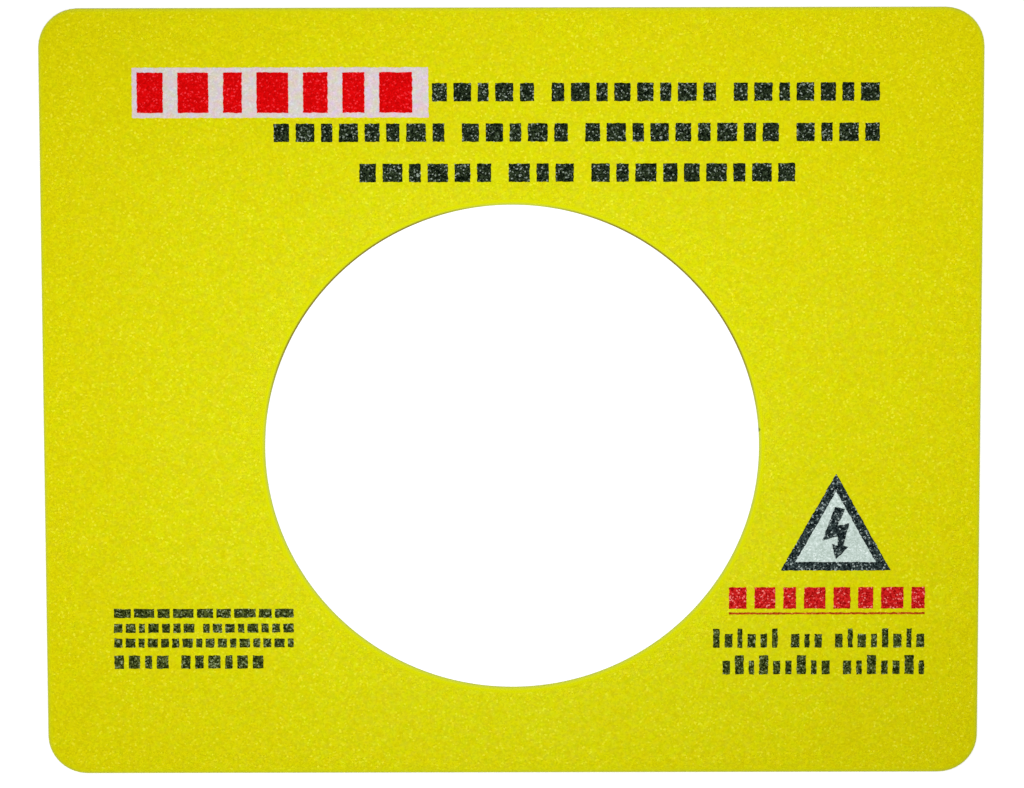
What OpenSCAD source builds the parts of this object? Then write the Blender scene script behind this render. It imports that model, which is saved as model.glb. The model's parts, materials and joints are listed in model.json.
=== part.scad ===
// Warning label for a panel indicator: one die-cut yellow sheet with a round hole, printed in
// white, red and black. It lies on its back. The origin is on the back face, at the centre of
// the hole, with +X to the right of the print, +Y to its top and +Z out of its face.

/* [Sheet] */
// Width of the label
label_w = 76.2; // [74.5:0.1:120]
// Height of the label
label_h = 63.5; // [62.5:0.1:100]
// Thickness of the sheet, film and adhesive together
sheet_t = 0.3; // [0.2:0.05:1]
// Radius of the four corners
corner_r = 3.2; // [1:0.1:7]
// Width of the band along each cut edge that the die rolls over
roll_w = 0.4; // [0.1:0.01:0.5]
// Depth to which the die presses that band down at the cut
roll_d = 0.08; // [0.02:0.01:0.15]

/* [Hole] */
// Diameter of the hole, which goes round the indicator's bezel
hole_d = 40.2; // [30:0.1:41]
// Height of the hole's centre above the label's bottom edge
hole_up = 27.3; // [26.5:0.1:28]

/* [Print] */
// Thickness of one coat of ink
ink_t = 0.02; // [0.01:0.005:0.05]
// Gap between two blocks of a group, as a share of the blocks' height
block_gap = 0.36; // [0.1:0.01:0.5]
// Gap between two groups of blocks, as a share of the blocks' height
group_gap = 0.95; // [0.6:0.01:1.3]
// How much the blocks of a row differ in width, as a share of their mean width
width_vary = 0.28; // [0:0.01:0.4]

/* [Header] */
// Width of the white panel
panel_w = 23.9; // [15:0.1:30]
// Height of the white panel
panel_h = 4.1; // [3.6:0.1:4.8]
// Distance from the label's left edge to the white panel
panel_left = 7.5; // [2:0.1:10]
// Distance from the label's top edge to the white panel
panel_top = 4.8; // [1:0.1:5.4]
// Height of the red blocks on the white panel
header_block = 3.3; // [2:0.1:3.5]
// White margin to the left of the red blocks
header_lead = 0.4; // [0.2:0.1:2]
// White margin to the right of the red blocks
header_tail = 1.3; // [0.2:0.1:3]

/* [Notice] */
// Height of the black blocks in the three rows of the notice
notice_block = 1.5; // [1:0.1:2]
// Distance from the middle of one row to the middle of the next
notice_pitch = 3.3; // [2.2:0.1:3.5]
// Distance from the end of the first two rows to the label's right edge
notice_right = 8.4; // [2:0.1:15]
// Gap between the white panel and the start of the first row
notice_gap = 0.3; // [0.1:0.1:3]
// Distance from the label's left edge to the start of the second row
second_left = 18.9; // [5:0.1:30]
// Distance from the label's left edge to the start of the third row
third_left = 25.8; // [5:0.1:32]
// Distance from the end of the third row to the label's right edge
third_right = 15.2; // [2:0.1:30]

/* [Hazard sign] */
// Width of the triangle across its base
sign_w = 9; // [6:0.1:10]
// Height of the triangle
sign_h = 8.1; // [6:0.1:9]
// Width of the black border
sign_border = 0.72; // [0.4:0.01:0.9]
// Distance from the triangle's middle to the label's right edge
sign_right = 11.7; // [8:0.1:12]
// Height of the triangle's base above the label's bottom edge
sign_up = 17; // [16.5:0.1:19]
// Height of the lightning arrow
bolt_h = 4.4; // [3:0.1:4.8]

/* [Alert row] */
// Height of the red blocks under the hazard sign
alert_block = 1.8; // [1:0.1:2.3]
// Length of the red row
alert_len = 16; // [10:0.1:16.2]
// Height of the middle of the red row above the label's bottom edge
alert_up = 14.7; // [14.6:0.1:15]
// Thickness of the red rule under the row
rule_t = 0.16; // [0.1:0.01:0.3]
// Height of that rule above the label's bottom edge
rule_up = 13.4; // [12.9:0.1:13.5]
// Distance from the end of every row in the lower right corner to the label's right edge
corner_right = 4.4; // [3.4:0.1:4.9]

/* [Small print] */
// Height of the low blocks in the two rows under the alert row
text_block = 1.15; // [0.8:0.05:1.4]
// Extra height of the tall blocks in those rows
text_rise = 0.45; // [0.1:0.01:0.6]
// Height of the middle of the upper one above the label's bottom edge
text_up = 11.1; // [10.9:0.1:11.4]
// Distance from the middle of that row to the middle of the next
text_pitch = 2.25; // [1.9:0.05:3]
// Length of the upper one
text_len_1 = 17.3; // [12:0.1:18]
// Length of the lower one
text_len_2 = 16.5; // [12:0.1:18]
// Distance from the label's left edge to the rows in the lower left corner
fine_left = 5.5; // [3:0.1:6]
// Length of the upper rows there
fine_len = 14.7; // [8:0.1:14.8]
// Length of the last row there
fine_last_len = 12.2; // [8:0.1:15]
// Height of the middle of the top row there above the label's bottom edge
fine_up = 13.5; // [13:0.1:14]
// Distance between the upper rows there
fine_pitch = 1.25; // [1.1:0.05:1.4]
// Height of the blocks in the upper rows there
fine_block = 0.75; // [0.4:0.05:0.9]
// Height of the blocks in the last row there
fine_last_block = 1.1; // [0.6:0.1:1.3]
// Distance from the middle of the last upper row to the middle of the last row
fine_last_drop = 1.6; // [1.3:0.05:2]

/* [Hidden] */

$fn = 180;
// Straight steps in the curve of the rolled edge
roll_steps = 5;
// How far the punch reaches past both faces
punch_over = 1;
// Turn, in degrees, from one block to the next in the rule that varies their widths
golden_turn = 137.508;
// A block is tall where the sine of its turn is over this
tall_from = 0.45;

// Numbers of blocks in the groups of each row
header_groups = [7];
notice_groups = [[5, 8, 7], [8, 5, 9, 4], [6, 3, 9]];
alert_groups = [8];
text_groups = [[6, 3, 8], [9, 7]];
fine_groups = [[9], [7, 8], [16]];
fine_last_groups = [4, 6];

// Edges of the label, from the centre of the hole
left_x = -label_w / 2;
right_x = label_w / 2;
bottom_y = -hole_up;
top_y = label_h - hole_up;

// Heights of the header and of the rows, from the centre of the hole
header_y = top_y - panel_top - panel_h / 2;
panel_x = left_x + panel_left;
sign_pos = [right_x - sign_right, bottom_y + sign_up];
corner_x = right_x - corner_right;

// The rolled edge is an arc that leaves the flat face level and drops roll_d over roll_w
roll_r = (roll_w ^ 2 + roll_d ^ 2) / (2 * roll_d);
roll_turn = asin(roll_w / roll_r);
// Its points from the cut up to the flat face: how far in from the cut, and how high
roll_curve = [
    for (i = [0:roll_steps])
        let (turn = roll_turn * (1 - i / roll_steps))
        [roll_w - roll_r * sin(turn), sheet_t - roll_r * (1 - cos(turn))]
];

// The lightning arrow's outline, from its tip, as shares of its height
bolt_shape = [
    [0, 0], [0.23, 0.23], [0.14, 0.27], [0.25, 0.69], [0.03, 0.64], [0.17, 0.96],
    [-0.02, 1], [-0.25, 0.36], [0.04, 0.44], [0.03, 0.26], [-0.07, 0.3]
];

// Sum of the first n values of a list
function sum(values, n) = n < 1 ? 0 : values[n - 1] + sum(values, n - 1);

function reversed(points) = [for (i = [len(points) - 1:-1:0]) points[i]];

// Cross-section of the sheet from its middle line out to a cut edge
function half_section(half) = concat(
    [[0, 0], [half, 0]],
    [for (p = roll_curve) [half - p.x, p.y]],
    [[0, sheet_t]]
);

// Cross-section of the sheet between two cut edges
function section(half) = concat(
    [[-half, 0], [half, 0]],
    [for (p = roll_curve) [half - p.x, p.y]],
    [for (p = reversed(roll_curve)) [p.x - half, p.y]]
);

// The rounded sheet before the hole is punched: two crossing strips and four corner discs,
// which all have the same rolled edge
module blank() {
    inner_w = label_w - 2 * corner_r;
    inner_h = label_h - 2 * corner_r;
    translate([0, (top_y + bottom_y) / 2, 0]) {
        rotate([90, 0, 90]) linear_extrude(inner_w, center = true) polygon(section(label_h / 2));
        rotate([90, 0, 0]) linear_extrude(inner_h, center = true) polygon(section(label_w / 2));
        for (x = [-1, 1], y = [-1, 1])
            translate([x * inner_w / 2, y * inner_h / 2, 0])
                rotate_extrude() polygon(half_section(corner_r));
    }
}

// What the punch takes out: the hole, and the curve that it leaves round the hole's rim
module punch() {
    rotate_extrude()
        polygon(concat(
            [[0, -punch_over], [hole_d / 2, -punch_over]],
            [for (p = roll_curve) [hole_d / 2 + p.x, p.y]],
            [[hole_d / 2 + roll_w, sheet_t + punch_over], [0, sheet_t + punch_over]]
        ));
}

// One coat of ink in the shape of its children, on the sheet or on the coats below it
module ink(coats_below = 0) {
    translate([0, 0, sheet_t + coats_below * ink_t]) linear_extrude(ink_t) children();
}

// A row of plain blocks from x = from to x = to, in groups, with its low blocks' middle at y.
// Tall blocks stand higher by rise.
module row(from, to, y, height, groups, rise = 0) {
    count = sum(groups, len(groups));
    gap = block_gap * height;
    extra = (group_gap - block_gap) * height;
    group_of = [for (g = [0:len(groups) - 1]) for (i = [1:groups[g]]) g];
    shares = [for (i = [0:count - 1]) 1 + width_vary * sin(golden_turn * i)];
    width = (to - from - (count - 1) * gap - (len(groups) - 1) * extra) / sum(shares, count);
    for (i = [0:count - 1])
        translate([from + width * sum(shares, i) + i * gap + group_of[i] * extra, y - height / 2])
            square([
                width * shares[i],
                height + (cos(golden_turn * (i + len(groups))) > tall_from ? rise : 0)
            ]);
}

// Outline of the hazard sign, with its base's middle at the origin, drawn in by an inset
module sign_outline(inset = 0) {
    lean = atan(sign_w / 2 / sign_h);
    side = inset / cos(lean);
    half = sign_w / 2 * (1 - inset / sign_h) - side;
    polygon([[-half, inset], [half, inset], [0, sign_h * (1 - side / (sign_w / 2))]]);
}

// The lightning arrow, in the middle of the sign's white field
module bolt() {
    translate([0, (sign_h - bolt_h) / 4]) polygon(bolt_h * bolt_shape);
}

module label_sheet() {
    color([0.85, 0.84, 0.03]) difference() {
        blank();
        punch();
    }
}

module white_ink() {
    color([0.87, 0.85, 0.81]) {
        ink() translate([panel_x, header_y - panel_h / 2]) square([panel_w, panel_h]);
        ink() translate(sign_pos) sign_outline(sign_border);
    }
}

module red_ink() {
    color([0.86, 0.05, 0.06]) {
        ink(1) row(panel_x + header_lead, panel_x + panel_w - header_tail, header_y, header_block,
            header_groups);
        ink() row(corner_x - alert_len, corner_x, bottom_y + alert_up, alert_block, alert_groups);
        ink() translate([corner_x - alert_len, bottom_y + rule_up - rule_t / 2])
            square([alert_len, rule_t]);
    }
}

module black_ink() {
    starts = [panel_x + panel_w + notice_gap, left_x + second_left, left_x + third_left];
    ends = [right_x - notice_right, right_x - notice_right, right_x - third_right];
    lengths = [text_len_1, text_len_2];
    color([0.12, 0.14, 0.16]) {
        for (i = [0:2])
            ink() row(starts[i], ends[i], header_y - i * notice_pitch, notice_block,
                notice_groups[i]);
        ink() translate(sign_pos) difference() {
            sign_outline();
            sign_outline(sign_border);
        }
        ink(1) translate(sign_pos) bolt();
        for (i = [0:1])
            ink() row(corner_x - lengths[i], corner_x, bottom_y + text_up - i * text_pitch,
                text_block, text_groups[i], text_rise);
        for (i = [0:2])
            ink() row(left_x + fine_left, left_x + fine_left + fine_len,
                bottom_y + fine_up - i * fine_pitch, fine_block, fine_groups[i]);
        ink() row(left_x + fine_left, left_x + fine_left + fine_last_len,
            bottom_y + fine_up - 2 * fine_pitch - fine_last_drop, fine_last_block,
            fine_last_groups);
    }
}

label_sheet();
white_ink();
red_ink();
black_ink();
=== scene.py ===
"""Looks of the warning label: its film, its print, the light and the camera."""

import json
import math

import bmesh
import bpy
from mathutils import Matrix, Vector


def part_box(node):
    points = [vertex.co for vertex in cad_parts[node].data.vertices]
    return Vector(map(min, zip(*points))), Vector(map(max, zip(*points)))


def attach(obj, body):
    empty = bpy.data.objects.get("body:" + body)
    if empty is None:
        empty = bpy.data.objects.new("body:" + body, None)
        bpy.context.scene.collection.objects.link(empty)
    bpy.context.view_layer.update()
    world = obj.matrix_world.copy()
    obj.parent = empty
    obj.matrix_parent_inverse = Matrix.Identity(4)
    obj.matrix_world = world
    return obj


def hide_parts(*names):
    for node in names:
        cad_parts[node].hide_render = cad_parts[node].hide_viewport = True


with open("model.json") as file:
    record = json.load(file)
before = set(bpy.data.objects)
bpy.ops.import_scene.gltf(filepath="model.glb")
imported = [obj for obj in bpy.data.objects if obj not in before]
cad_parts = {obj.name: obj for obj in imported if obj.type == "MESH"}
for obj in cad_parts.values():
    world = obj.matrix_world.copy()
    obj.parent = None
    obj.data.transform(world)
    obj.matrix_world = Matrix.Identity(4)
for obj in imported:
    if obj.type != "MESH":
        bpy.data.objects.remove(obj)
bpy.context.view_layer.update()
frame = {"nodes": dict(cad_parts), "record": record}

MM = 0.001

# The sheet. Its size is the CAD node's, and the hole's is its mount's. The cutting die rolls
# every rim over, and the hole's rim is smooth a little further in than it is rolled.
SHEET_LOW, SHEET_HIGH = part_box("label_sheet")
HOLE_R = next(m["dims"]["r_mm"] for m in frame["record"]["mounts"] if m["name"] == "hole") * MM
CORNER_R = 3.2 * MM
ROLL_W = 0.4 * MM
ROLL_D = 0.08 * MM
RIM_W = 0.52 * MM

# The sheet's mesh: the points round it, the steps down a rolled rim, the rings across a face, the
# angle from which an edge is sharp, and a length of a direction's part that counts as none
OUTLINE_POINTS = 720
ROLL_STEPS = 6
FACE_RINGS = 10
SHARP_ANGLE = math.radians(40)
NEARLY_NONE = 1e-9

# The coats of ink. Each is as thick as the white one stands over the sheet. Its outline is
# followed in steps, and wanders to and fro in all by a width, in waves of a size.
INK_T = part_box("white_ink")[1].z - SHEET_HIGH.z
OUTLINE_STEP = 0.05 * MM
OUTLINE_WANDER = 0.17 * MM
OUTLINE_WANDER_SIZE = 0.36 * MM
MID_NOISE = (0.5, 0.5, 0.5)

# How far up a face's normal goes for it to count as a top, or down as a back, and how near each
# other two points are where they are merged
TOP_NORMAL = 0.5
MERGE_DISTANCE = 1e-7

# The film's texture: the width of a grain, of a speck in the inks, of a change in tint and of
# the faint clouds
GRAIN_SIZE = 0.14 * MM
SPECK_SIZE = 0.11 * MM
TINT_SIZE = 0.55 * MM
CLOUD_SIZE = 6 * MM

# How deep the texture is and how strongly it tilts the surface, how glossy that is, and how rough
# it is on its matt grains and on its glints
GRAIN_DEPTH = 0.01 * MM
BUMP_STRENGTH = 0.5
GLOSS = 0.02
MATT_ROUGHNESS = 0.65
GLINT_ROUGHNESS = 0.4

# How much the clouds change the grains and the tints, and the range of noise that tints follow
CLOUD_LIGHT = 0.14
CLOUD_TINT = 0.22
TINT_RANGE = (0.3, 0.7)

# How bright a grain is where it turns glossier and takes a painted glint, and the power that
# darkens the black ink's grains
FILM_GLINT_FROM = 0.93
COLOUR_GLINT_FROM = 0.88
BLACK_GLINT_FROM = 0.86
BLACK_GRAIN_POWER = 2.0

# The hazard sign's middle, how far its corners are from it, and from how far off the black is the
# notice's
SIGN_CENTRE = (26.4 * MM, -7.6 * MM, SHEET_HIGH.z)
SIGN_R = 5.7 * MM
PAST_SIGN_R = 1.15 * SIGN_R

# Where the inks change: just over the red rule under the alert row, just over all the small print
# in black, between the tops of a first and a second coat, and from the middle to the right, where
# the white turns cool
RULE_TOP = -13.7 * MM
SMALL_PRINT_TOP = -12.0 * MM
SECOND_COAT = SHEET_HIGH.z + 1.5 * INK_T
COOL_SIDE = (0.0, SHEET_HIGH.x / 2)

# The nick in the hole's rim, which is a little above the hole's right side: how far round it is,
# its radius, how it fades in towards its middle, and where that is
NICK_TURN = math.radians(4.2)
NICK_R = 0.14 * MM
NICK_FADE = (1.5 * NICK_R, 0.8 * NICK_R)
NICK_PLACE = (HOLE_R * math.cos(NICK_TURN), HOLE_R * math.sin(NICK_TURN), SHEET_HIGH.z - ROLL_D)

# How deep under the face the film turns to a smooth rim, to the cut's olive, which is partly
# painted shade, and to the darker olive of the hole's upper sides
RIM_DEPTHS = (0.0, 0.03 * ROLL_D)
CUT_DEPTHS = (0.1 * ROLL_D, 0.8 * ROLL_D)
UPPER_SIDE_DARK_DEPTHS = (0.25 * ROLL_D, 0.65 * ROLL_D)

# Where the hole's lower part starts and is reached, as a height, and where its upper sides do, as
# a height times a distance to the side
LOWER_PART = (-0.4 * HOLE_R, -0.8 * HOLE_R)
UPPER_SIDES = (0.1 * HOLE_R**2, 0.4 * HOLE_R**2)

# The floor: its radius, how far it reaches under the label, and how far below its back it lies
FLOOR_R = 3.0
FLOOR_LAP = 0.12 * MM
FLOOR_GAP = 0.03 * MM

# The photo's view: how far the camera leans to the label's top and turns round its own axis, and
# how far off it is. A millimetre takes up a little fewer pixels at the label's centre than in the
# photo, so that the whole label shows.
LEAN_UP = math.radians(11.92)
ROLL = math.radians(-0.11)
CAMERA_DISTANCE = 614 * MM
PIXELS_PER_MM = 12.3
IMAGE_W = 1024
SENSOR_W = 36


def light_share(value):
    """The share of light, by the sRGB curve, of one part of a colour from 0 to 255."""
    share = value / 255
    return share / 12.92 if share <= 0.04045 else ((share + 0.055) / 1.055) ** 2.4


def srgb(red, green, blue):
    """A colour as an image gives it, in the linear values that shaders take."""
    return (light_share(red), light_share(green), light_share(blue), 1.0)


# The textures of the film and of the inks. Each has three colours: low in the texture, on its
# high grains, and a painted glint, which is a painted highlight on its brightest grains.
FILM = (srgb(202, 200, 0), srgb(232, 230, 2), srgb(246, 244, 54))
WARM_WHITE = (srgb(196, 182, 178), srgb(242, 226, 224), srgb(254, 246, 244))
COOL_WHITE = (srgb(180, 198, 188), srgb(220, 236, 230), srgb(240, 252, 248))
SOLID_RED = (srgb(194, 0, 0), srgb(238, 4, 8), srgb(250, 56, 66))
SPECKLED_RED = (srgb(152, 0, 0), srgb(238, 44, 42), srgb(255, 150, 142))
THIN_RED = (srgb(156, 50, 6), srgb(204, 88, 24), srgb(226, 142, 56))
SIGN_BLACK = (srgb(0, 8, 12), srgb(80, 96, 94), srgb(172, 186, 182))
NOTICE_BLACK = (srgb(0, 6, 0), srgb(66, 81, 54), srgb(156, 168, 156))
SMALL_BLACK = (srgb(14, 24, 0), srgb(108, 121, 54), srgb(150, 162, 122))

# The tints that the film and the warm white wander to
FILM_WARM = srgb(228, 207, 0)
FILM_LIME = srgb(210, 228, 0)
FILM_PALE = srgb(221, 219, 92)
WHITE_ROSE = srgb(246, 170, 206)
WHITE_SAGE = srgb(188, 242, 198)
WHITE_CREAM = srgb(222, 210, 148)
WHITE_BLUE = srgb(216, 202, 255)

# The film on its rims, down at the cut, which is partly painted shade, darker olive on the hole's
# upper sides, where it is nicked, and on its back
FILM_RIM = srgb(220, 223, 0)
FILM_CUT_AND_SHADE = srgb(192, 202, 74)
FILM_UPPER_SIDE_DARK = srgb(136, 122, 24)
FILM_NICK = srgb(124, 138, 40)
FILM_BACK = srgb(190, 186, 44)
FILM_BACK_PALE = srgb(210, 207, 92)

# How much of the tints the film's face and the warm white take, and the power that keeps the
# film's pale spots few
HUE_SHARE = 0.34
PALE_SHARE = 0.1
PALE_POWER = 2.0
WHITE_TINT_SHARE = 0.4

# How much the film's tints are shifted at the hole's rim and far from it, and how far that is
SHIFT_NEAR = 0.1
SHIFT_FAR = -0.6
SHIFT_FAR_R = 2.6 * HOLE_R

# How strongly the label's outline shows the colours of the rim and of the cut, and the hole's
# lower part that of the cut, whose painted shade is lighter there. The rest of the hole shows both
# in full.
OUTLINE_SHARE = 0.4
LOWER_SHADE_SHARE = 0.7

# The floor's grey as light falls on it and as it is seen, the glow that brings what is seen to
# white, and the surround's light
FLOOR_GREY = (0.8, 0.8, 0.8, 1)
FLOOR_SEEN_GREY = (0.5, 0.5, 0.5, 1)
FLOOR_GLOW = 0.72
SURROUND_LIGHT = 0.38
WHITE = (1, 1, 1, 1)


def add(tree, kind, inputs=None, **settings):
    """Adds a node to a tree. An input is given a value, or the socket that it is linked to."""
    node = tree.nodes.new(kind)
    for name, value in settings.items():
        setattr(node, name, value)
    for key, value in (inputs or {}).items():
        if isinstance(value, bpy.types.NodeSocket):
            tree.links.new(value, node.inputs[key])
        else:
            node.inputs[key].default_value = value
    return node


def calc(tree, operation, *values):
    """The result of a Math node."""
    return add(tree, "ShaderNodeMath", dict(enumerate(values)), operation=operation).outputs[0]


def mix(tree, factor, a, b):
    """The colour that lies between two others by a factor from 0 to 1."""
    return add(tree, "ShaderNodeMix", {0: factor, 6: a, 7: b}, data_type="RGBA").outputs[2]


def ramp(tree, value, low, high):
    """How far a value is from low to high, from 0 to 1."""
    inputs = {"Value": value, "From Min": low, "From Max": high}
    return add(tree, "ShaderNodeMapRange", inputs).outputs["Result"]


def parts_of(tree, vector):
    """The three parts of a vector."""
    return add(tree, "ShaderNodeSeparateXYZ", {0: vector}).outputs


def make_grain_group():
    """The velvet texture: each grain's brightness, gloss and painted glint, tint, paleness and
    height.
    """
    tree = bpy.data.node_groups.new("velvet_grain", "ShaderNodeTree")
    for name in ("Grain Size", "Grain Power", "Glint From"):
        tree.interface.new_socket(name, in_out="INPUT", socket_type="NodeSocketFloat")
    for name in ("Grain", "Gloss And Painted Glint", "Tint", "Paleness", "Height"):
        tree.interface.new_socket(name, in_out="OUTPUT", socket_type="NodeSocketFloat")
    given = tree.nodes.new("NodeGroupInput").outputs
    place = add(tree, "ShaderNodeTexCoord").outputs["Object"]
    scale = calc(tree, "DIVIDE", 1.0, given["Grain Size"])
    cells = add(tree, "ShaderNodeTexVoronoi", {"Vector": place, "Scale": scale}).outputs
    chance = add(tree, "ShaderNodeSeparateColor", {"Color": cells["Color"]}).outputs["Red"]
    inputs = {"Vector": place, "Scale": 1 / CLOUD_SIZE, "Detail": 4.0}
    cloud = add(tree, "ShaderNodeTexNoise", inputs).outputs
    inputs = {"Vector": place, "Scale": 1 / TINT_SIZE, "Detail": 1.0}
    patch = add(tree, "ShaderNodeTexNoise", inputs).outputs
    tints = mix(tree, CLOUD_TINT, patch["Color"], cloud["Color"])
    tints = add(tree, "ShaderNodeSeparateColor", {"Color": tints}).outputs
    clouded = calc(tree, "MULTIPLY_ADD", cloud["Fac"], CLOUD_LIGHT, chance)
    level = ramp(tree, clouded, CLOUD_LIGHT / 2, 1 + CLOUD_LIGHT / 2)
    results = {
        "Grain": calc(tree, "POWER", level, given["Grain Power"]),
        # The glint makes a grain glossier, and gives its colour a painted highlight
        "Gloss And Painted Glint": ramp(tree, level, given["Glint From"], 1.0),
        "Tint": ramp(tree, tints["Red"], *TINT_RANGE),
        "Paleness": ramp(tree, tints["Green"], *TINT_RANGE),
        "Height": calc(tree, "SUBTRACT", 1.0, cells["Distance"]),
    }
    add(tree, "NodeGroupOutput", results)
    return tree


GRAIN_GROUP = make_grain_group()


def new_material(name, glint_from, grain_size=SPECK_SIZE, grain_power=1.0):
    """A matt material with the velvet texture. Gives it, its tree, its shader and the texture."""
    material = bpy.data.materials.new(name)
    material.use_nodes = True
    tree = material.node_tree
    tree.nodes.clear()
    values = {"Grain Size": grain_size, "Grain Power": grain_power, "Glint From": glint_from}
    grain = add(tree, "ShaderNodeGroup", values, node_tree=GRAIN_GROUP).outputs
    inputs = {"Strength": BUMP_STRENGTH, "Distance": GRAIN_DEPTH, "Height": grain["Height"]}
    bump = add(tree, "ShaderNodeBump", inputs)
    inputs = {"Value": grain["Gloss And Painted Glint"], "To Min": MATT_ROUGHNESS, "To Max": GLINT_ROUGHNESS}
    roughness = add(tree, "ShaderNodeMapRange", inputs)
    inputs = {
        "Roughness": roughness.outputs["Result"],
        "Specular IOR Level": GLOSS,
        "Normal": bump.outputs["Normal"],
    }
    surface = add(tree, "ShaderNodeBsdfPrincipled", inputs)
    add(tree, "ShaderNodeOutputMaterial", {"Surface": surface.outputs["BSDF"]})
    return material, tree, surface, grain


def blend(tree, factor, a, b):
    """The three colours of the texture that lies between two others by a factor from 0 to 1."""
    return [mix(tree, factor, *pair) for pair in zip(a, b)]


def textured(tree, grain, colours):
    """A colour that runs from low to high over the grains, and to a painted glint on the brightest.
    """
    low, high, painted_glint = colours
    # Painted highlight: the third colour, on the brightest grains
    return mix(tree, grain["Gloss And Painted Glint"], mix(tree, grain["Grain"], low, high), painted_glint)


def place_of(tree):
    """Where a point is on the label, and the three parts of that place."""
    place = add(tree, "ShaderNodeTexCoord").outputs["Object"]
    return place, parts_of(tree, place)


def far_from(tree, place, point):
    """The distance from a point."""
    distance = add(tree, "ShaderNodeVectorMath", {0: place, 1: point}, operation="DISTANCE")
    return distance.outputs["Value"]


def film_face(tree, grain, from_hole):
    """The film's flat face, which is paler round the hole and warmer towards the corners."""
    near = ramp(tree, from_hole, SHIFT_FAR_R, HOLE_R)
    shift = calc(tree, "MULTIPLY_ADD", near, SHIFT_NEAR - SHIFT_FAR, SHIFT_FAR)
    hue = mix(tree, calc(tree, "ADD", grain["Tint"], shift), FILM_WARM, FILM_LIME)
    face = mix(tree, HUE_SHARE, textured(tree, grain, FILM), hue)
    pale = ramp(tree, calc(tree, "ADD", grain["Paleness"], shift), 0.0, 1.0)
    pale = calc(tree, "MULTIPLY", calc(tree, "POWER", pale, PALE_POWER), PALE_SHARE)
    return mix(tree, pale, face, FILM_PALE)


def film_rims(tree, face, height, depth, from_hole, at_hole):
    """The face's colour, changed to the smooth rims' and to the cut's, whose olive is partly
    painted shade, most of all at the hole and less on its lower part.
    """
    outline_rim = calc(tree, "MULTIPLY", ramp(tree, depth, *RIM_DEPTHS), OUTLINE_SHARE)
    hole_rim = ramp(tree, from_hole, HOLE_R + RIM_W, HOLE_R + ROLL_W)
    colour = mix(tree, calc(tree, "MAXIMUM", outline_rim, hole_rim), face, FILM_RIM)
    # Painted shade: the cut's olive is lighter on the hole's lower part
    lower = ramp(tree, height, *LOWER_PART)
    hole_shade_share = calc(tree, "MULTIPLY_ADD", lower, LOWER_SHADE_SHARE - 1.0, 1.0)
    share = calc(tree, "MAXIMUM", calc(tree, "MULTIPLY", at_hole, hole_shade_share), OUTLINE_SHARE)
    cut = calc(tree, "MULTIPLY", ramp(tree, depth, *CUT_DEPTHS), share)
    return mix(tree, cut, colour, FILM_CUT_AND_SHADE)


def hole_nick_and_dark_sides(tree, colour, place, part, depth, at_hole):
    """The colour, darker olive near the cut on the hole's upper sides, and with the nick in its
    rim.
    """
    sideways = calc(tree, "MULTIPLY", calc(tree, "ABSOLUTE", part["X"]), part["Y"])
    upper_sides = calc(tree, "MULTIPLY", ramp(tree, sideways, *UPPER_SIDES), at_hole)
    # Darker olive near the cut on the hole's upper sides
    upper_side_dark = calc(tree, "MULTIPLY", upper_sides, ramp(tree, depth, *UPPER_SIDE_DARK_DEPTHS))
    nick = ramp(tree, far_from(tree, place, NICK_PLACE), *NICK_FADE)
    return mix(tree, nick, mix(tree, upper_side_dark, colour, FILM_UPPER_SIDE_DARK), FILM_NICK)


def make_film():
    """Yellow velvet film, with smooth rims and a plainer back."""
    material, tree, surface, grain = new_material("yellow_velvet_film", FILM_GLINT_FROM, GRAIN_SIZE)
    place, part = place_of(tree)
    from_hole = far_from(tree, place, (0, 0, 0))
    at_hole = calc(tree, "LESS_THAN", from_hole, HOLE_R + ROLL_W)
    depth = calc(tree, "SUBTRACT", SHEET_HIGH.z, part["Z"])
    colour = film_face(tree, grain, from_hole)
    colour = film_rims(tree, colour, part["Y"], depth, from_hole, at_hole)
    colour = hole_nick_and_dark_sides(tree, colour, place, part, depth, at_hole)
    normal = add(tree, "ShaderNodeTexCoord").outputs["Normal"]
    at_back = calc(tree, "LESS_THAN", parts_of(tree, normal)["Z"], -TOP_NORMAL)
    back = mix(tree, grain["Paleness"], FILM_BACK, FILM_BACK_PALE)
    tree.links.new(mix(tree, at_back, colour, back), surface.inputs["Base Color"])
    return material


def make_white_ink():
    """White ink: warm in the header and cooler in the hazard sign, which is on the right."""
    material, tree, surface, grain = new_material("white_ink_on_film", COLOUR_GLINT_FROM)
    rose = mix(tree, grain["Tint"], WHITE_ROSE, WHITE_SAGE)
    cream = mix(tree, grain["Paleness"], WHITE_CREAM, WHITE_BLUE)
    warm = mix(tree, WHITE_TINT_SHARE, textured(tree, grain, WARM_WHITE), rose)
    warm = mix(tree, WHITE_TINT_SHARE, warm, cream)
    cool = textured(tree, grain, COOL_WHITE)
    to_right = ramp(tree, place_of(tree)[1]["X"], *COOL_SIDE)
    tree.links.new(mix(tree, to_right, warm, cool), surface.inputs["Base Color"])
    return material


def make_red_ink():
    """Red ink: solid on white ink, speckled on the film, and thin in the rule. Its palest specks
    are painted glints.
    """
    material, tree, surface, grain = new_material("red_ink_on_film", COLOUR_GLINT_FROM)
    part = place_of(tree)[1]
    on_white = calc(tree, "GREATER_THAN", part["Z"], SECOND_COAT)
    in_rule = calc(tree, "LESS_THAN", part["Y"], RULE_TOP)
    colours = blend(tree, on_white, SPECKLED_RED, SOLID_RED)
    colours = blend(tree, in_rule, colours, THIN_RED)
    tree.links.new(textured(tree, grain, colours), surface.inputs["Base Color"])
    return material


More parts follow.
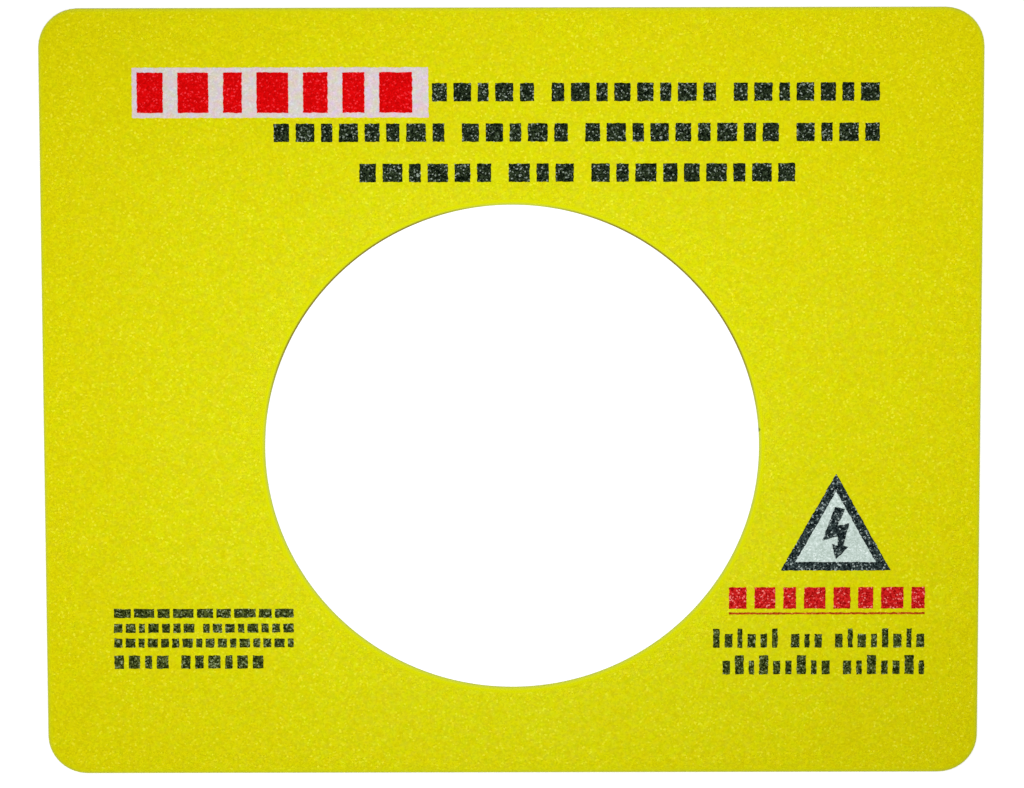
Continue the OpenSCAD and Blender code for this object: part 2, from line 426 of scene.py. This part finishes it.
def make_black_ink():
    """Black ink with grey specks, from its grain and from painted glints: bluish in the sign, then
    greenish, and olive in small print.
    """
    material, tree, surface, grain = new_material(
        "black_ink_on_film", BLACK_GLINT_FROM, grain_power=BLACK_GRAIN_POWER
    )
    place, part = place_of(tree)
    past_sign = ramp(tree, far_from(tree, place, SIGN_CENTRE), SIGN_R, PAST_SIGN_R)
    in_small_print = calc(tree, "LESS_THAN", part["Y"], SMALL_PRINT_TOP)
    colours = blend(tree, past_sign, SIGN_BLACK, NOTICE_BLACK)
    colours = blend(tree, in_small_print, colours, SMALL_BLACK)
    tree.links.new(textured(tree, grain, colours), surface.inputs["Base Color"])
    return material


def circle(radius):
    """Points at even turns round the hole."""
    turns = (math.tau * i / OUTLINE_POINTS for i in range(OUTLINE_POINTS))
    return [Vector((radius * math.cos(t), radius * math.sin(t))) for t in turns]


def outline(inset):
    """The label's outline moved in by a distance, as points at even turns round the hole."""
    half_w = (SHEET_HIGH.x - SHEET_LOW.x) / 2 - inset
    low_y = SHEET_LOW.y + inset
    high_y = SHEET_HIGH.y - inset
    radius = CORNER_R - inset
    points = []
    for ray in circle(1.0):
        side_y = high_y if ray.y > 0 else low_y
        reach_x = half_w / abs(ray.x) if abs(ray.x) > NEARLY_NONE else math.inf
        reach_y = side_y / ray.y if abs(ray.y) > NEARLY_NONE else math.inf
        point = ray * min(reach_x, reach_y)
        centre_x = math.copysign(half_w - radius, ray.x)
        centre_y = side_y - math.copysign(radius, ray.y)
        if abs(point.x) > abs(centre_x) and abs(point.y) > abs(centre_y):
            centre = Vector((centre_x, centre_y))
            along = ray.dot(centre)
            point = ray * (along + math.sqrt(radius**2 - centre.length_squared + along**2))
        points.append(point)
    return points


def rim_arc():
    """A rolled rim from its cut to the face, as distances in from the cut and heights."""
    arc_r = (ROLL_W**2 + ROLL_D**2) / (2 * ROLL_D)
    arc_turn = math.asin(ROLL_W / arc_r)
    arc = []
    for i in range(ROLL_STEPS + 1):
        turn = arc_turn * (1 - i / ROLL_STEPS)
        arc.append((ROLL_W - arc_r * math.sin(turn), SHEET_HIGH.z - arc_r * (1 - math.cos(turn))))
    return arc


def face_loops(inset, height):
    """Loops across a flat face, from the hole outwards. The face is smaller by an inset."""
    inner = circle(HOLE_R + inset)
    outer = outline(inset)
    loops = []
    for i in range(1, FACE_RINGS):
        share = i / FACE_RINGS
        loops.append(([a.lerp(b, share) for a, b in zip(inner, outer)], height))
    return loops


def sheet_loops():
    """The sheet's loops: up the hole's wall, over the face, down the outline, and back below."""
    arc = rim_arc()
    loops = [(circle(HOLE_R), SHEET_LOW.z)]
    loops += [(circle(HOLE_R + inset), height) for inset, height in arc]
    loops += face_loops(ROLL_W, SHEET_HIGH.z)
    loops += [(outline(inset), height) for inset, height in reversed(arc)]
    loops.append((outline(0), SHEET_LOW.z))
    loops += reversed(face_loops(0, SHEET_LOW.z))
    return loops


def add_loops(shape, loops):
    """Adds loops of points to a shape. Each loop comes with its height."""
    return [[shape.verts.new((p.x, p.y, height)) for p in points] for points, height in loops]


def join_loops(shape, outer, inner):
    """Joins two loops by a ring of faces. They face up where the first loop is the outer one."""
    for i in range(OUTLINE_POINTS):
        k = (i + 1) % OUTLINE_POINTS
        shape.faces.new((outer[i], outer[k], inner[k], inner[i]))


def new_piece(name, shape):
    """Turns a shape into an object of the scene."""
    mesh = bpy.data.meshes.new(name)
    shape.to_mesh(mesh)
    shape.free()
    piece = bpy.data.objects.new(name, mesh)
    bpy.context.scene.collection.objects.link(piece)
    return piece


def make_sheet(material):
    """The die-cut sheet: flat faces, straight cut walls, and an arc rolled over at every rim."""
    shape = bmesh.new()
    loops = add_loops(shape, sheet_loops())
    for loop, after in zip(loops, loops[1:] + loops[:1]):
        join_loops(shape, loop, after)
    bmesh.ops.recalc_face_normals(shape, faces=shape.faces)
    sheet = new_piece("film_sheet", shape)
    sheet.data.shade_smooth()
    sheet.data.set_sharp_from_angle(angle=SHARP_ANGLE)
    sheet.data.materials.append(material)
    return sheet


def top_faces(tree, solids):
    """The faces on top of solids."""
    normal = add(tree, "GeometryNodeInputNormal").outputs[0]
    upward = calc(tree, "GREATER_THAN", parts_of(tree, normal)["Z"], TOP_NORMAL)
    inputs = {"Geometry": solids, "Selection": upward}
    split = add(tree, "GeometryNodeSeparateGeometry", inputs, domain="FACE")
    return split.outputs["Selection"]


def outline_curves(tree, faces, step):
    """Curves along the outlines of faces, with a point at every step."""
    neighbours = add(tree, "GeometryNodeInputMeshEdgeNeighbors").outputs[0]
    inputs = {2: neighbours, 3: 1}
    rim = add(tree, "FunctionNodeCompare", inputs, data_type="INT", operation="EQUAL").outputs[0]
    curves = add(tree, "GeometryNodeMeshToCurve", {"Mesh": faces, "Selection": rim}).outputs[0]
    inputs = {"Curve": curves, "Length": step}
    return add(tree, "GeometryNodeResampleCurve", inputs, mode="LENGTH").outputs[0]


def ragged(tree, curves, wander, wander_size):
    """Curves whose points are moved by noise."""
    fineness = calc(tree, "DIVIDE", 1.0, wander_size)
    noise = add(tree, "ShaderNodeTexNoise", {"Scale": fineness, "Detail": 2.0}).outputs["Color"]
    inputs = {0: noise, 1: MID_NOISE}
    centred = add(tree, "ShaderNodeVectorMath", inputs, operation="SUBTRACT").outputs[0]
    inputs = {0: centred, "Scale": wander}
    shift = add(tree, "ShaderNodeVectorMath", inputs, operation="SCALE").outputs[0]
    inputs = {"Geometry": curves, "Offset": shift}
    return add(tree, "GeometryNodeSetPosition", inputs).outputs[0]


def raised(tree, flat, tops, thickness):
    """Flat faces turned into closed solids of a thickness, whose tops are level with other tops."""
    nearest = add(tree, "GeometryNodeProximity", {"Geometry": tops}, target_element="FACES")
    height = parts_of(tree, nearest.outputs["Position"])["Z"]
    place = parts_of(tree, add(tree, "GeometryNodeInputPosition").outputs[0])
    inputs = {"X": place["X"], "Y": place["Y"], "Z": calc(tree, "SUBTRACT", height, thickness)}
    lowered = add(tree, "ShaderNodeCombineXYZ", inputs).outputs[0]
    inputs = {"Geometry": flat, "Position": lowered}
    under = add(tree, "GeometryNodeSetPosition", inputs).outputs[0]
    up = add(tree, "ShaderNodeCombineXYZ", {"X": 0.0, "Y": 0.0, "Z": 1.0}).outputs[0]
    inputs = {"Mesh": under, "Offset": up, "Offset Scale": thickness, "Individual": False}
    upper = add(tree, "GeometryNodeExtrudeMesh", inputs).outputs[0]
    lower = add(tree, "GeometryNodeFlipFaces", {"Mesh": under}).outputs[0]
    both = add(tree, "GeometryNodeJoinGeometry")
    tree.links.new(upper, both.inputs[0])
    tree.links.new(lower, both.inputs[0])
    inputs = {"Geometry": both.outputs[0], "Distance": MERGE_DISTANCE}
    return add(tree, "GeometryNodeMergeByDistance", inputs).outputs[0]


def make_print_tree():
    """Nodes that print a coat of ink: the tops of its solids, with their outlines gone ragged."""
    tree = bpy.data.node_groups.new("printed_coat", "GeometryNodeTree")
    socket = tree.interface.new_socket
    socket("Geometry", in_out="INPUT", socket_type="NodeSocketGeometry")
    for name in ("Outline Step", "Wander", "Wander Size", "Coat Thickness"):
        socket(name, in_out="INPUT", socket_type="NodeSocketFloat")
    socket("Ink", in_out="INPUT", socket_type="NodeSocketMaterial")
    socket("Geometry", in_out="OUTPUT", socket_type="NodeSocketGeometry")
    given = tree.nodes.new("NodeGroupInput").outputs
    tops = top_faces(tree, given["Geometry"])
    curves = outline_curves(tree, tops, given["Outline Step"])
    curves = ragged(tree, curves, given["Wander"], given["Wander Size"])
    flat = add(tree, "GeometryNodeFillCurve", {"Curve": curves}).outputs[0]
    coat = raised(tree, flat, tops, given["Coat Thickness"])
    real = add(tree, "GeometryNodeRealizeInstances", {"Geometry": coat}).outputs[0]
    inked = add(tree, "GeometryNodeSetMaterial", {"Geometry": real, "Material": given["Ink"]})
    add(tree, "NodeGroupOutput", {0: inked.outputs[0]})
    return tree


def make_print(tree, node, material):
    """The coat of ink that stands for a CAD node."""
    shape = bmesh.new()
    shape.from_mesh(frame["nodes"][node].data)
    bmesh.ops.remove_doubles(shape, verts=shape.verts, dist=MERGE_DISTANCE)
    coat = new_piece(node + "_coat", shape)
    solids = coat.data
    modifier = coat.modifiers.new("print", "NODES")
    modifier.node_group = tree
    values = {
        "Outline Step": OUTLINE_STEP,
        "Wander": OUTLINE_WANDER,
        "Wander Size": OUTLINE_WANDER_SIZE,
        "Coat Thickness": INK_T,
        "Ink": material,
    }
    for item in tree.interface.items_tree:
        if item.in_out == "INPUT" and item.name in values:
            modifier[item.identifier] = values[item.name]
    evaluated = coat.evaluated_get(bpy.context.evaluated_depsgraph_get())
    printed = bpy.data.meshes.new_from_object(evaluated)
    coat.modifiers.clear()
    coat.data = printed
    bpy.data.meshes.remove(solids)
    return coat


def dress(piece, node):
    """Makes a piece ride on the part and stand for its CAD node, which it hides."""
    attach(piece, "root")
    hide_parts(node)


def seen_as_background(tree):
    """Whether a ray comes from the camera, or shows the surround in something glossy or clear."""
    path = add(tree, "ShaderNodeLightPath").outputs
    glossy = calc(tree, "MAXIMUM", path["Is Glossy Ray"], path["Is Transmission Ray"])
    return calc(tree, "MAXIMUM", path["Is Camera Ray"], glossy)


def make_floor_surface():
    """A white that the camera sees in full, and that keeps a shadow. It is clear from below."""
    material = bpy.data.materials.new("white_floor")
    material.use_nodes = True
    tree = material.node_tree
    tree.nodes.clear()
    seen = seen_as_background(tree)
    inputs = {
        "Base Color": mix(tree, seen, FLOOR_GREY, FLOOR_SEEN_GREY),
        "Roughness": 1.0,
        "Specular IOR Level": 0.0,
        "Emission Color": WHITE,
        "Emission Strength": calc(tree, "MULTIPLY", seen, FLOOR_GLOW),
    }
    surface = add(tree, "ShaderNodeBsdfPrincipled", inputs).outputs[0]
    clear = add(tree, "ShaderNodeBsdfTransparent").outputs[0]
    from_below = add(tree, "ShaderNodeNewGeometry").outputs["Backfacing"]
    sided = add(tree, "ShaderNodeMixShader", {0: from_below, 1: surface, 2: clear})
    add(tree, "ShaderNodeOutputMaterial", {"Surface": sided.outputs[0]})
    return material


def make_floor():
    """A plain white floor, open under the label, so that the label's back is seen and lit."""
    height = SHEET_LOW.z - FLOOR_GAP
    rings = [circle(FLOOR_R), outline(FLOOR_LAP), circle(HOLE_R + FLOOR_LAP)]
    shape = bmesh.new()
    far, near, in_hole = add_loops(shape, [(points, height) for points in rings])
    join_loops(shape, far, near)
    shape.faces.new(in_hole)
    floor = new_piece("floor", shape)
    floor.data.materials.append(make_floor_surface())


def make_world():
    """An even white surround, which the camera sees as white."""
    world = bpy.data.worlds.new("surround")
    bpy.context.scene.world = world
    world.use_nodes = True
    tree = world.node_tree
    tree.nodes.clear()
    seen = seen_as_background(tree)
    light = add(tree, "ShaderNodeBackground", {"Color": WHITE, "Strength": SURROUND_LIGHT})
    white = add(tree, "ShaderNodeBackground", {"Color": WHITE, "Strength": 1.0})
    mixed = add(tree, "ShaderNodeMixShader", {0: seen, 1: light.outputs[0], 2: white.outputs[0]})
    add(tree, "ShaderNodeOutputWorld", {"Surface": mixed.outputs[0]})


def make_lamp(name, place, width, depth, power):
    """A soft rectangular lamp that looks at the middle of the hole."""
    data = bpy.data.lights.new(name, "AREA")
    data.shape = "RECTANGLE"
    data.size = width
    data.size_y = depth
    data.energy = power
    lamp = bpy.data.objects.new(name, data)
    lamp.location = place
    lamp.rotation_euler = (-Vector(place)).to_track_quat("-Z", "Y").to_euler()
    bpy.context.scene.collection.objects.link(lamp)


def make_camera():
    """A camera at the photo's angle and distance, which takes in the whole label."""
    target = (SHEET_LOW + SHEET_HIGH) / 2
    towards = Vector((0, math.sin(LEAN_UP), math.cos(LEAN_UP)))
    right = Vector((1, 0, 0))
    up = towards.cross(right)
    turn = Matrix((right, up, towards)).transposed().to_4x4() @ Matrix.Rotation(ROLL, 4, "Z")
    data = bpy.data.cameras.new("camera")
    data.sensor_width = SENSOR_W
    data.lens = PIXELS_PER_MM * (CAMERA_DISTANCE / MM) * SENSOR_W / IMAGE_W
    data.clip_start = 0.01
    data.clip_end = 20
    camera = bpy.data.objects.new("camera", data)
    camera.matrix_world = Matrix.Translation(target + towards * CAMERA_DISTANCE) @ turn
    bpy.context.scene.collection.objects.link(camera)
    bpy.context.scene.camera = camera


make_camera()
make_world()
make_floor()
make_lamp("key", place=(-0.004, 0.011, 0.08), width=0.12, depth=0.06, power=0.059)
make_lamp("fill", place=(-0.6, 0.4, 0.8), width=0.5, depth=0.5, power=0.7)
make_lamp("under", place=(-0.2, -0.3, -0.8), width=0.5, depth=0.5, power=5.0)

dress(make_sheet(make_film()), "label_sheet")
print_tree = make_print_tree()
inks = {"white_ink": make_white_ink(), "red_ink": make_red_ink(), "black_ink": make_black_ink()}
for name, ink in inks.items():
    dress(make_print(print_tree, name, ink), name)

bpy.context.scene.view_settings.view_transform = "Standard"
